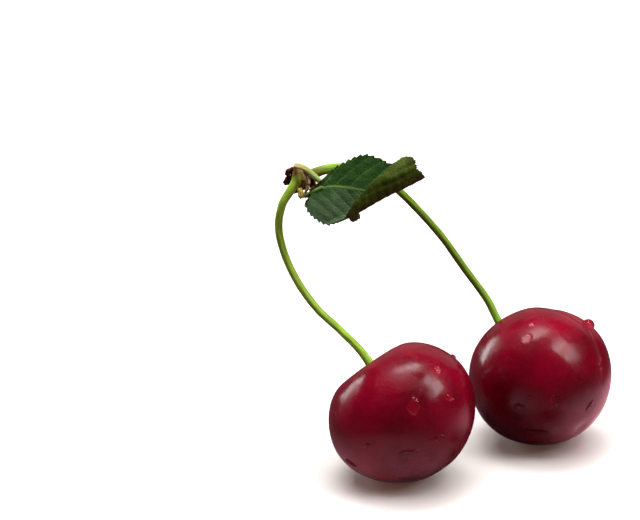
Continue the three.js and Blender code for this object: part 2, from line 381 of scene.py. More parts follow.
def shape_fruit(point, fruit, settings):
    """Turns a point of the unit ball, stalk at +z and suture at +x, into one of the fruit.

    Returns the point, how near it is to the suture line, to the stalk and to the tip.
    """
    ring = math.hypot(point.x, point.y)
    high = max(point.z, 0.0)
    fullness = (ring**ROUNDNESS + abs(point.z) ** ROUNDNESS) ** (-1 / ROUNDNESS)
    reach = fruit["above"] if point.z > 0 else fruit["below"]
    grooved = ring * smooth_step(-0.25, 0.25, point.x) * smooth_step(-0.85, -0.5, point.z)
    made = Vector(
        (
            fruit["half_thickness"] * fullness * point.x,
            fruit["half_width"] * fullness * point.y,
            reach * fullness * point.z,
        )
    )
    out = math.hypot(made.x, made.y)
    if high > 0:
        made.z -= settings.cavity_depth * bump_at(out, CAVITY_RADIUS)
    else:
        made.z += SCAR_DEPTH * bump_at(out, SCAR_RADIUS)
    narrow = settings.suture_depth * bump_at(made.y, SUTURE_HALF_WIDTH)
    crease = CREASE_DEPTH * bump_at(off_crease(made), CREASE_HALF_WIDTH)
    broad = fruit["shoulder_dip"] * high * bump_at(made.y, SHOULDER_HALF_WIDTH)
    # the flesh is a little uneven: soft lumps of about a third of the fruit, smaller ones on
    # them, and faint pleats that run out of the funnel
    seed = Vector(fruit["spot"]).to_3d()
    lump = BROAD_LUMP * noise.noise(point * 1.9 + seed) + SMALL_LUMP * noise.noise(point * 5.0 + seed)
    angle = math.atan2(point.y, point.x)
    pleat = PLEAT_HEIGHT * math.sin(PLEATS * angle + 2 * math.sin(3 * angle))
    pleat *= bump_at(out - 3.4, 2.0) * (high > 0)
    made *= 1 + (lump + pleat - grooved * (narrow + crease + broad)) / made.length
    # the mask of the painted highlight, a paler line along the suture crease
    line = grooved * bump_at(off_crease(made), 0.3)
    # painted shade: how much darker the skin is painted in the funnel round the stalk
    funnel_shade = bump_at(out, 3.6) if high > 0 else 0.0
    near_tip = bump_at(out, 1.0) if high == 0 else 0.0
    return made, line, funnel_shade, near_tip


def fruit_place(fruit, settings):
    """Where a fruit lies once its underside has flattened a little under its weight."""
    turn = frame_along(fruit["stalk"], fruit["suture"])
    probe = bmesh.new()
    bmesh.ops.create_uvsphere(probe, u_segments=44, v_segments=30, radius=1)
    lowest = min((turn @ shape_fruit(v.co.copy(), fruit, settings)[0]).z for v in probe.verts)
    probe.free()
    return placed(turn, (*fruit["spot"], -lowest - SETTLE))


def build_fruit(fruit, settings, finish):
    """One fruit, with its funnel, suture, tip scar and flattened underside."""
    mesh = bmesh.new()
    bmesh.ops.create_uvsphere(mesh, u_segments=settings.columns, v_segments=settings.rows, radius=1)
    layers = [mesh.verts.layers.float.new(name) for name in ("suture", "funnel_shade", "near_tip")]
    place = fruit_place(fruit, settings)
    for vertex in mesh.verts:
        made, *marks = shape_fruit(vertex.co.copy(), fruit, settings)
        made = place @ made
        # the skin bends round to lie flat where it rests
        made.z = max(made.z, 0.0) * smooth_step(-0.25, FLAT_EDGE, made.z)
        vertex.co = made
        for layer, mark in zip(layers, marks):
            vertex[layer] = mark
    make_piece("fruit_" + fruit["name"], mesh, "cherry_" + fruit["name"], finish)


def fruit_skin(settings):
    """Sweet cherry skin, grown: a thin waxy film over dark flesh.

    The eye sees a deep clouded red with fine pale pores, and soft broad highlights,
    because the film is smooth but the flesh under it is faintly grained.
    """
    finish, tree = new_finish("waxy_cherry_skin_grown")
    where = add_node(tree, "TexCoord").outputs["Object"]
    # noises, as features per metre, detail, roughness and distortion: clouds about 9 mm across,
    # torn patches of painted sheen and wetter patches of 4 mm, dents of 3 mm and a grain of 0.35 mm
    clouds, film, wet, dents, grain = (
        add_node(
            tree,
            "TexNoise",
            {"Vector": where, "Scale": scale, "Detail": detail, "Roughness": rough, "Distortion": bent},
        ).outputs["Fac"]
        for scale, detail, rough, bent in (
            (110.0, 3.0, 0.55, 0.0),
            (260.0, 6.0, 0.62, 0.0),
            (250.0, 5.0, 0.5, 0.6),
            (330.0, 2.0, 0.5, 0.0),
            (2800.0, 2.0, 0.5, 0.0),
        )
    )
    # pores about 0.5 mm apart, paler than the skin between them
    pores = add_node(tree, "TexVoronoi", {"Vector": where, "Scale": 1700.0, "Randomness": 1.0})
    spot = add_node(tree, "SeparateXYZ", {"Vector": where})
    # ranges, from and to: how far each of these shows, and how sharp the shine of the skin is;
    # the painted sheen, which stands for the pale floor mirrored in the skin, lies low on the fruit
    cloudy, pore, low, torn, shine = (
        add_node(
            tree,
            "MapRange",
            {"Value": part, "From Min": start, "From Max": end, "To Min": first, "To Max": last},
        ).outputs[0]
        for part, start, end, first, last in (
            (clouds, 0.35, 0.68, 0.0, 1.0),
            (pores.outputs["Distance"], 0.0, 0.42, 0.07, 0.0),
            (spot.outputs["Z"], 0.012, 0.004, 0.0, 1.0),
            (film, 0.47, 0.53, 0.0, 0.2),
            (wet, 0.43, 0.56, 0.18, 0.30),
        )
    )
    # masks for the painted shade in the funnel, the tip scar and the painted highlight on the suture
    funnel, tip, line = (
        add_node(tree, "Attribute", attribute_name=name).outputs["Fac"]
        for name in ("funnel_shade", "near_tip", "suture")
    )
    # painted highlight: a paler line along the suture crease
    suture = add_node(tree, "Math", {0: line, 1: 0.22}, operation="MULTIPLY").outputs[0]
    # painted sheen: pale torn patches low on the fruit, where the skin mirrors the pale floor
    painted_floor_sheen = add_node(tree, "Math", {0: low, 1: torn}, operation="MULTIPLY").outputs[0]
    # laid over the dark flesh in turn: clouds, pores, painted shade in the funnel, the tip scar,
    # a painted highlight along the suture, and the painted sheen low on the fruit
    layers = (
        (cloudy, settings.skin[:]),
        (pore, linear("#b23a50")),
        # painted shade in the funnel
        (funnel, linear("#4a0810")),
        (tip, linear("#6b4630")),
        (suture, linear("#b44a58")),
        (painted_floor_sheen, linear("#a05a70")),
    )
    base = settings.deep_skin[:]
    for part, over in layers:
        base = add_node(tree, "Mix", {0: part, 6: base, 7: over}, data_type="RGBA").outputs[2]
    fine = add_node(tree, "Bump", {"Height": grain, "Strength": 0.10, "Distance": 0.00006})
    broad = add_node(
        tree, "Bump", {"Height": dents, "Strength": 0.35, "Distance": 0.00012, "Normal": fine.outputs[0]}
    )
    shader = add_node(
        tree,
        "BsdfPrincipled",
        {
            "Base Color": base,
            "Roughness": shine,
            "IOR": 1.45,
            "Subsurface Weight": 0.10,
            "Subsurface Radius": (1.0, 0.12, 0.08),
            "Subsurface Scale": 0.0015,
            "Normal": broad.outputs[0],
        },
    )
    add_node(tree, "OutputMaterial", {"Surface": shader.outputs[0]})
    return finish


class CHERRIES_OT_fruits(bpy.types.Operator):
    """Build the two fruits"""

    bl_idname = "cherries.fruits"
    bl_label = "Fruits"

    def execute(self, context):
        settings = context.scene.cherry_fruits
        finish = fruit_skin(settings)
        for fruit in FRUITS:
            build_fruit(fruit, settings, finish)
        return {"FINISHED"}


# ------------------------------------------------------------------ the stalks

# Points of each stalk after it leaves its fruit, up to the bud base, and of the barren one
# from the bud base to its cup.
LEFT_STALK = (
    (-6.5, 5.2, 19.9), (-10.1, 7.8, 22.8), (-13.6, 9.7, 25.5), (-16.7, 11.4, 29.3),
    (-19.1, 12.9, 34.0), (-20.1, 13.6, 38.4), (-19.5, 13.9, 42.4), (-18.3, 14.3, 44.5),
    (-17.3, 15.0, 46.0), (-17.0, 15.7, 47.2), (-16.7, 16.1, 47.9),
)
RIGHT_STALK = (
    (17.0, 22.6, 18.1), (15.1, 24.1, 21.5), (11.3, 24.6, 26.8), (6.9, 23.9, 33.4),
    (2.3, 22.6, 39.2), (-0.8, 21.4, 42.7), (-4.2, 20.0, 45.5), (-7.6, 19.0, 47.1),
    (-10.8, 18.2, 47.3), (-12.8, 17.7, 47.1), (-15.2, 17.2, 46.4),
)
BARREN_STALK = (
    (-16.6, 16.2, 46.6), (-17.2, 14.9, 48.4), (-17.2, 13.6, 49.3), (-15.9, 13.3, 49.0),
    (-14.2, 13.9, 47.3), (-12.2, 14.7, 45.0), (-9.2, 14.4, 42.3), (-7.9, 13.8, 40.8),
    (-7.1, 13.2, 39.7),
)
BARREN_RADIUS = 0.46
BARREN_RINGS = 200
MOUTH_RADIUS = 0.55
MOUTH_DEPTH = 0.75


def build_stalk(fruit, points, settings, fruit_settings, finish):
    """A fruiting stalk, from the floor of its funnel to the bud base."""
    floor = fruit["above"] - fruit_settings.cavity_depth
    foot = fruit_place(fruit, fruit_settings) @ Vector((0, 0, floor + STALK_LIFT))
    seed = 7.0 * (1 + FRUITS.index(fruit))

    def radius_at(along, angle):
        round_radius = (
            settings.radius
            + settings.fruit_flare * bump_at(along, 0.08)
            + settings.bud_flare * bump_at(1 - along, 0.12)
        )
        # five soft ribs and finer ones, knots, and the cushion where it leaves the fruit
        ridge = 0.022 * math.sin(5 * angle + seed) + 0.012 * math.sin(9 * angle + 3 * along * seed)
        knot = 0.035 * uneven(math.cos(angle), math.sin(angle), along * 26 + seed)
        cushion = 0.16 * bump_at(along - 0.035, 0.012)
        return round_radius + ridge + knot + cushion

    mesh = rod_mesh()
    rod(mesh, [foot, *points], radius_at, sides=32, rings=420)
    name = "stalk_of_" + fruit["name"] + "_fruit"
    make_piece(name, mesh, "stalk_" + fruit["name"], finish)


def stalk_skin(name, bright, deep, old):
    """Fresh green stalk, grown: a smooth skin over long fibres.

    The eye sees long fine streaks of two greens, small pale breathing pores, and a
    browner, woodier end where the stalk was held by the bud.
    """
    finish, tree = new_finish(name)
    grain = add_node(tree, "Attribute", attribute_name="grain")
    # streaks 0.2 mm wide and several millimetres long
    stretched = add_node(tree, "Mapping", {"Vector": grain.outputs["Vector"], "Scale": (2.2, 2.2, 0.22)})
    streaks = add_node(tree, "TexNoise", {"Vector": stretched.outputs[0], "Scale": 1.6, "Detail": 4.0})
    part = add_node(
        tree, "MapRange", {"Value": streaks.outputs["Fac"], "From Min": 0.36, "From Max": 0.62}
    )
    # pores about 0.25 mm across, longer than wide
    spaced = add_node(tree, "Mapping", {"Vector": grain.outputs["Vector"], "Scale": (1.5, 1.5, 1.0)})
    pores = add_node(tree, "TexVoronoi", {"Vector": spaced.outputs[0], "Scale": 1.5})
    pore_part = add_node(
        tree,
        "MapRange",
        {
            "Value": pores.outputs["Distance"],
            "From Min": 0.08,
            "From Max": 0.2,
            "To Min": 0.55,
            "To Max": 0.0,
        },
    )
    # the last tenth of the stalk turns woody in patches
    along = add_node(tree, "Attribute", attribute_name="along")
    end = add_node(tree, "MapRange", {"Value": along.outputs["Fac"], "From Min": 0.92, "From Max": 0.99})
    patches = add_node(tree, "Math", {0: end.outputs[0], 1: streaks.outputs["Fac"]}, operation="MULTIPLY")
    woody = add_node(tree, "MapRange", {"Value": patches.outputs[0], "From Min": 0.12, "From Max": 0.42})
    base = deep
    for layer, over in ((part, bright), (pore_part, linear("#c9d98a")), (woody, old)):
        mixed = add_node(tree, "Mix", {0: layer.outputs[0], 6: base, 7: over}, data_type="RGBA")
        base = mixed.outputs[2]
    bump = add_node(
        tree, "Bump", {"Height": streaks.outputs["Fac"], "Strength": 0.5, "Distance": 0.00015}
    )
    shader = add_node(
        tree,
        "BsdfPrincipled",
        {
            "Base Color": base,
            "Roughness": 0.42,
            "IOR": 1.45,
            "Specular IOR Level": 0.3,
            "Subsurface Weight": 0.15,
            "Subsurface Radius": (0.5, 0.8, 0.2),
            "Subsurface Scale": 0.0006,
            "Normal": bump.outputs[0],
        },
    )
    add_node(tree, "OutputMaterial", {"Surface": shader.outputs[0]})
    return finish


class CHERRIES_OT_stalks(bpy.types.Operator):
    """Build the two fruiting stalks"""

    bl_idname = "cherries.stalks"
    bl_label = "Stalks"

    def execute(self, context):
        settings = context.scene.cherry_stalks
        fruit_settings = context.scene.cherry_fruits
        # two copies of one stalk finish: the left stalk's is lit, the right stalk's has painted shade in its
        # darker greens
        bright = stalk_skin(
            "lit_stalk_skin_grown", settings.bright_green[:], settings.deep_green[:], linear("#7d5f2e")
        )
        dull = stalk_skin(
            "painted_shade_stalk_skin_grown", linear("#8db435"), linear("#608a1f"), linear("#7a6a30")
        )
        build_stalk(FRUITS[0], LEFT_STALK, settings, fruit_settings, bright)
        build_stalk(FRUITS[1], RIGHT_STALK, settings, fruit_settings, dull)
        return {"FINISHED"}


# ------------------------------------------------------------------ the barren stalk


def build_barren_stalk(finish):
    """The stalk that set no fruit, thick where it is joined, with its shrivelled cup."""

    def radius_at(along, angle):
        joined = 0.22 * bump_at(along, 0.12) - 0.08 * bump_at(along - 0.2, 0.1)
        cup = 0.42 * smooth_step(0.84, 0.93, along) - 0.2 * smooth_step(0.96, 1.0, along)
        folds = 0.13 * math.sin(5 * angle + 0.6) * smooth_step(0.86, 0.97, along)
        flat = 0.13 * math.cos(2 * angle) * bump_at(along, 0.5)
        wobble = 0.04 * uneven(math.cos(angle), math.sin(angle), along * 14)
        return BARREN_RADIUS + joined + cup + folds + flat + wobble

    mesh = rod_mesh()
    rod(mesh, BARREN_STALK, radius_at, sides=32, rings=BARREN_RINGS)
    # the mouth of the cup is hollow
    path, _ = route_through(BARREN_STALK, BARREN_RINGS)
    mouth = path[-1]
    inward = (path[-8] - mouth).normalized()
    for vertex in mesh.verts:
        off = vertex.co - mouth
        depth = off.dot(inward)
        out = (off - inward * depth).length
        if depth < 0.5 and out < MOUTH_RADIUS:
            vertex.co += inward * MOUTH_DEPTH * (1 - out / MOUTH_RADIUS) ** 0.7
    make_piece("barren_flower_stalk", mesh, "barren_stalk", finish)


def barren_skin():
    """Dying flower stalk, grown: tan and corky at its root, pale green, then black.

    The eye sees one thin strap that changes from orange-brown to fresh green, and a
    dark shrunken cup at its end.
    """
    finish, tree = new_finish("dying_stalk_skin_grown")
    grain = add_node(tree, "Attribute", attribute_name="grain")
    along = add_node(tree, "Attribute", attribute_name="along")
    stretched = add_node(tree, "Mapping", {"Vector": grain.outputs["Vector"], "Scale": (2.0, 2.0, 0.5)})
    streaks = add_node(tree, "TexNoise", {"Vector": stretched.outputs[0], "Scale": 1.6, "Detail": 4.0})
    green, tan, dark = (
        add_node(
            tree, "Mix", {0: streaks.outputs["Fac"], 6: linear(deep), 7: linear(pale)}, data_type="RGBA"
        )
        for deep, pale in (("#86a83a", "#d0e08a"), ("#96642e", "#e8d494"), ("#2c2c0c", "#7c7c30"))
    )
    base = tan.outputs[2]
    for start, end, over in ((0.2, 0.34, green), (0.8, 0.9, dark)):
        part = add_node(
            tree, "MapRange", {"Value": along.outputs["Fac"], "From Min": start, "From Max": end}
        )
        mixed = add_node(tree, "Mix", {0: part.outputs[0], 6: base, 7: over.outputs[2]}, data_type="RGBA")
        base = mixed.outputs[2]
    bump = add_node(tree, "Bump", {"Height": streaks.outputs["Fac"], "Strength": 0.6, "Distance": 0.0002})
    shader = add_node(
        tree,
        "BsdfPrincipled",
        {"Base Color": base, "Roughness": 0.55, "IOR": 1.45, "Normal": bump.outputs[0]},
    )
    add_node(tree, "OutputMaterial", {"Surface": shader.outputs[0]})
    return finish


class CHERRIES_OT_barren_stalk(bpy.types.Operator):
    """Build the stalk that set no fruit"""

    bl_idname = "cherries.barren_stalk"
    bl_label = "Barren stalk"

    def execute(self, context):
        build_barren_stalk(barren_skin())
        return {"FINISHED"}


# ------------------------------------------------------------------ the bud base

BASE_PROFILE = (
    (0.0, -0.6), (0.6, -0.55), (1.1, -0.3), (1.4, 0.3), (1.6, 0.8), (1.4, 1.1), (1.62, 1.5),
    (1.4, 1.9), (1.52, 2.3), (1.25, 2.7), (1.05, 3.1), (0.5, 3.0), (0.0, 3.15),
)
BASE_STEPS = 60
BASE_AXIS = (-0.25, 0.88, 0.3)
BASE_SPOT = (-16.1, 16.1, 45.3)
# the middle and the radius of the ring that the scales stand on
SCALE_RING_SPOT = Vector((-16.4, 17.9, 46.0))
SCALE_RING_RADIUS = 1.6
# angle round the rim, lean out, length and width of each scale, in degrees and millimetres
BUD_SCALES = (
    (150, 30, 2.1, 1.6), (194, 36, 1.9, 1.5), (245, 20, 1.9, 1.7), (330, 24, 2.2, 1.7), (103, 14, 1.7, 1.4)
)


def build_bud_base(finish):
    """The woody end of the short shoot, ringed by old scale scars and broken off rough."""
    mesh = bmesh.new()
    profile = [through(BASE_PROFILE, step / BASE_STEPS) for step in range(BASE_STEPS + 1)]
    verts = [mesh.verts.new((max(p.x, 0.0), 0, p.y)) for p in profile]
    edges = [mesh.edges.new(pair) for pair in zip(verts, verts[1:])]
    bmesh.ops.spin(
        mesh,
        geom=verts + edges,
        cent=(0, 0, 0),
        axis=(0, 0, 1),
        angle=math.tau,
        steps=72,
        use_merge=True,
        use_duplicate=False,
    )
    bmesh.ops.remove_doubles(mesh, verts=mesh.verts, dist=0.0005)
    bmesh.ops.recalc_face_normals(mesh, faces=mesh.faces)
    for vertex in mesh.verts:
        p = vertex.co
        out = Vector((p.x, p.y, 0.3 * (p.z - 1.5)))
        rough = 0.10 * noise.noise(p * 1.6) + 0.07 * noise.noise(p * 4.5) + 0.04 * noise.noise(p * 11)
        if out.length > 0.05:
            vertex.co = p + out.normalized() * rough
        if p.z > 2.8:
            vertex.co.z += 0.22 * uneven(p.x * 2.5, p.y * 2.5, 3)
    place = placed(frame_along(BASE_AXIS, (1, 0, 0)), BASE_SPOT)
    make_piece("woody_bud_base", mesh, "bud_base", finish, place)


def shape_scale(length, width, thickness, bow, wrap, ragged, seed):
    """A small bowed plate, blunt at its foot and torn at its tip."""
    mesh = bmesh.new()
    made = bmesh.ops.create_grid(mesh, x_segments=26, y_segments=34, size=0.5)
    for vertex in made["verts"]:
        x, along = vertex.co.x, vertex.co.y + 0.5
        half = 0.5 * width * (0.35 + 0.65 * math.sin(math.pi * along**0.8) ** 0.8)
        turn = x * 2 * wrap
        radius = half / wrap
        torn = uneven(x * 6, seed, 0) + 0.5 * uneven(x * 17, seed, 4)
        torn = ragged * along * torn
        rise = bow * math.sin(math.pi * along * 0.9)
        crumple = 0.16 * uneven(x * 4, along * 4, seed)
        crumple += 0.10 * uneven(x * 9, along * 9, seed)
        crumple += 0.04 * uneven(x * 23, along * 23, seed)
        place = Vector(
            (radius * math.sin(turn), radius * math.cos(turn) - radius + rise, length * along + torn)
        )
        place.y += crumple
        vertex.co = place
    thicken(mesh, thickness)
    return mesh


def build_bud_scales(finish):
    """The five dry scales round the front rim of the bud base."""
    for i, (angle, lean, length, width) in enumerate(BUD_SCALES):
        out = Vector((math.cos(math.radians(angle)), 0, math.sin(math.radians(angle))))
        tilt = math.radians(lean)
        up = Vector((0, -math.cos(tilt), 0)) + out * math.sin(tilt)
        side = out.cross(up)
        mesh = shape_scale(length, width, 0.22, 0.2, 0.7, 0.9, 3.1 * i + 1)
        place = placed(frame_along(up, side), SCALE_RING_SPOT + out * SCALE_RING_RADIUS)
        make_piece(f"dry_scale_{i + 1}", mesh, f"bud_scale_{i + 1}", finish, place)


def build_bracts(papery, yellow):
    """The papery bract between the stalks, and the small yellow stipule below it."""
    bract = shape_scale(3.9, 1.0, 0.3, 0.85, 0.6, 0.35, 21.0)
    place = placed(frame_along((-0.1, 0, 1), (0, -1, 0)), (-15.9, 13.75, 44.4))
    make_piece("dry_papery_bract", bract, "papery_bract", papery, place)
    stipule = shape_scale(1.5, 0.8, 0.22, 0.15, 0.6, 0.25, 27.0)
    place = placed(frame_along((0.2, -0.3, -0.93), (1, 0, 0.2)), (-16.6, 13.6, 45.3))
    make_piece("yellow_stipule", stipule, "stipule", yellow, place)


def dry_tissue(name, dark, light, millimetres, roughness, height):
    """Dead plant tissue, dried on the shoot: patches of two browns over a rough skin.

    The eye sees a matt, crumbly surface that catches light on its torn edges.
    """
    finish, tree = new_finish(name)
    where = add_node(tree, "TexCoord").outputs["Object"]
    patches = add_node(
        tree,
        "TexNoise",
        {"Vector": where, "Scale": 1000.0 / millimetres, "Detail": 5.0, "Roughness": 0.65},
    )
    part = add_node(
        tree, "MapRange", {"Value": patches.outputs["Fac"], "From Min": 0.38, "From Max": 0.64}
    )
    base = add_node(tree, "Mix", {0: part.outputs[0], 6: dark, 7: light}, data_type="RGBA")
    bump = add_node(tree, "Bump", {"Height": patches.outputs["Fac"], "Strength": 0.9, "Distance": height})
    shader = add_node(
        tree,
        "BsdfPrincipled",
        {"Base Color": base.outputs[2], "Roughness": roughness, "IOR": 1.4, "Normal": bump.outputs[0]},
    )
    add_node(tree, "OutputMaterial", {"Surface": shader.outputs[0]})
    return finish


class CHERRIES_OT_bud_base(bpy.types.Operator):
    """Build the woody bud base, its dry scales, the papery bract and the stipule"""

    bl_idname = "cherries.bud_base"
    bl_label = "Bud base and scales"

    def execute(self, context):
        bark = dry_tissue("cherry_bark_weathered", linear("#3a3312"), linear("#8a7a3c"), 0.8, 0.85, 0.0004)
        scale = dry_tissue("bud_scale_dried", linear("#26090a"), linear("#84482c"), 0.5, 0.7, 0.0003)
        papery = dry_tissue("papery_bract_dried", linear("#a97a48"), linear("#e6c8a0"), 0.9, 0.6, 0.0002)
        yellow = dry_tissue("stipule_withered", linear("#a8862e"), linear("#dccb6a"), 0.8, 0.55, 0.0001)
        build_bud_base(bark)
        build_bud_scales(scale)
        build_bracts(papery, yellow)
        return {"FINISHED"}


# ------------------------------------------------------------------ the leaf

# The leaf laid flat: x along it from its foot, y across it away from the margin that rolls.
UPPER_MARGIN = ((0, 0), (2.6, 2.4), (5.4, 4.3), (9.3, 5.7), (13.7, 3.9), (18.4, 1.6), (19.6, -2.0))
LOWER_MARGIN = (
    (0, -0.4), (-0.5, -2.9), (2.0, -5.3), (5.2, -5.4), (8.4, -6.3), (13.7, -6.1), (19.6, -5.4),
    (20.7, -3.6), (19.6, -2.0),
)
MIDRIB = ((0, -0.2), (1.5, 0.4), (4.2, 0.8), (8.6, 0.1), (13.8, -1.1), (18.3, -1.7), (19.6, -2.0))
# where the foot of the leaf is, which way its upper face looks and which way it runs
LEAF_FOOT = (-15.0, 12.3, 45.4)
LEAF_FACE = (0, -0.88, 0.475)
LEAF_LENGTHWAYS = (0.99, 0.13, -0.05)
PETIOLE = ((-0.9, -0.9, -1.0), (-0.3, -0.5, -0.5), (0.8, 0, -0.1), (2.2, 0.6, 0))
PETIOLE_RADIUS = 0.32
# where the roll of the margin starts and runs, how thick it is, and how soon it grows
ROLL_START = Vector((4.7, -5.2))
ROLL_ALONG = Vector((13.7, 6.8)).normalized()
ROLL_ACROSS = Vector((ROLL_ALONG.y, -ROLL_ALONG.x))
ROLL_NARROW = 1.0
ROLL_WIDE = 2.2
ROLL_TAPER = 12.0
LEAF_COLUMNS = 260
LEAF_ROWS = 160
MARGIN_STEPS = 400
# the small step that finds which way the rolled leaf faces
NUDGE = 0.01
# the share of a tooth's length over which it rises, and how close the lower teeth stand
TOOTH_RISE = 0.78
LOWER_TEETH = 0.78


def rolled(flat):
    """Where a point of the flat leaf lies once its margin has rolled, z up off the face."""
    start = flat - ROLL_START
    along = start.dot(ROLL_ALONG)
    grown = min(max((along + 1) / ROLL_TAPER, 0.0), 1.0)
    radius = ROLL_NARROW + (ROLL_WIDE - ROLL_NARROW) * grown
    past = start.dot(ROLL_ACROSS) + radius
    if past <= 0:
        return Vector((flat.x, flat.y, 0.0))
    turn = past / radius
    place = ROLL_START + ROLL_ALONG * along + ROLL_ACROSS * radius * (math.sin(turn) - 1)
    return Vector((place.x, place.y, radius * (1 - math.cos(turn))))


def margin_runs(points):
    """How far along its margin each step of a curve is, in millimetres."""
    runs, last = [0.0], through(points, 0)
    for i in range(1, MARGIN_STEPS + 1):
        here = through(points, i / MARGIN_STEPS)
        runs.append(runs[-1] + (here - last).length)
        last = here
    return runs


def tooth(run, pitch):
    """Height of the saw edge, 0 to 1, at a distance along the margin: it points forwards."""
    at = (run / pitch) % 1
    return at / TOOTH_RISE if at < TOOTH_RISE else (1 - at) / (1 - TOOTH_RISE)


def vein_strength(flat, mid_y, pitch):
    """How strongly a vein shows at a flat point: the midrib and the side veins off it."""
    off = flat.y - mid_y
    away = abs(off)
    midrib = bump_at(away, 0.13 + 0.09 * max(0.0, 1 - flat.x / 20)) * (1 - 0.025 * max(flat.x, 0.0))
    start = flat.x - 0.75 * away - 0.045 * away * away + (0.5 * pitch if off < 0 else 0.0)
    start += 0.25 * uneven(start * 0.8, away * 0.25, 2.0)
    gap = abs((start / pitch + 0.5) % 1 - 0.5) * pitch
    side = bump_at(gap, 0.17) * (1 - 0.55 * smooth_step(2.0, 6.0, away)) * smooth_step(0.4, 2.0, start + 1.5)
    quilt = 0.5 - 0.5 * math.cos(math.tau * start / pitch)
    return max(midrib, 0.28 * side), quilt * smooth_step(0.0, 1.2, away)


def build_leaf(settings, finish):
    """The blade with its saw edge, sunken veins and rolled margin, and its short petiole."""
    mesh = rod_mesh()
    vein_layer = mesh.verts.layers.float.new("vein")
    under_layer = mesh.verts.layers.float.new("underside")
    flat_layer = mesh.verts.layers.float_vector.new("flat")
    made = bmesh.ops.create_grid(mesh, x_segments=LEAF_COLUMNS, y_segments=LEAF_ROWS, size=0.5)
    upper_runs, lower_runs = margin_runs(UPPER_MARGIN), margin_runs(LOWER_MARGIN)
    for vertex in made["verts"]:
        along, across = vertex.co.x + 0.5, vertex.co.y * 2
        middle = through(MIDRIB, along)
        margin = UPPER_MARGIN if across > 0 else LOWER_MARGIN
        runs = upper_runs if across > 0 else lower_runs
        edge = through(margin, along)
        run = runs[round(along * MARGIN_STEPS)]
        pitch = settings.tooth_pitch * (1.0 if across > 0 else LOWER_TEETH)
        reach = tooth(run, pitch) * settings.tooth_height * smooth_step(1.0, 0.93, along)
        if across > 0:
            reach *= smooth_step(0.12, 0.3, along)
        elif edge.x > 4.5:
            reach *= 0.4
        outward = edge - middle
        ahead = (through(margin, min(along + 0.004, 1)) - through(margin, max(along - 0.004, 0))).normalized()
        square = Vector((-ahead.y, ahead.x)) if across > 0 else Vector((ahead.y, -ahead.x))
        near_edge = smooth_step(0.84, 1.0, abs(across))
        flat = middle + outward * abs(across)
        flat += (square * (reach - 0.2 * settings.tooth_height) + ahead * 0.3 * reach) * near_edge
        vein, quilt = vein_strength(flat, middle.y, settings.vein_pitch)
        here = rolled(flat)
        lengthways = rolled(flat + Vector((NUDGE, 0))) - here
        sideways = rolled(flat + Vector((0, NUDGE))) - here
        face = lengthways.cross(sideways).normalized()
        wave = 0.22 * uneven(flat.x * 0.22, flat.y * 0.22, 5.0)
        wave += 0.06 * uneven(flat.x * 0.9, flat.y * 0.9, 8.0)
        wave *= smooth_step(0.0, 4.0, flat.x)
        # soft bands run along the roll
        along_roll = (flat - ROLL_START).dot(ROLL_ALONG)
        past_roll = (flat - ROLL_START).dot(ROLL_ACROSS)
        band = uneven(along_roll * 0.16, past_roll * 1.3, 12.0)
        wave += 0.16 * band * smooth_step(-1.5, 0.5, past_roll)
        vertex.co = here + face * (wave + 0.05 * quilt - 0.08 * vein)
        vertex[vein_layer] = vein
        vertex[flat_layer] = Vector((flat.x, flat.y, 0))
    for vertex in thicken(mesh, settings.thickness):
        vertex[under_layer] = 1.0
    for vertex in rod(mesh, PETIOLE, lambda along, angle: PETIOLE_RADIUS, sides=20, rings=60):
        vertex[vein_layer] = 1.0
    face = Vector(LEAF_FACE).normalized()
    lengthways = Vector(LEAF_LENGTHWAYS)
    lengthways = (lengthways - face * lengthways.dot(face)).normalized()
    turn = Matrix((lengthways, face.cross(lengthways), face)).transposed().to_4x4()
    make_piece("rolled_leaf", mesh, "leaf", finish, placed(turn, LEAF_FOOT))


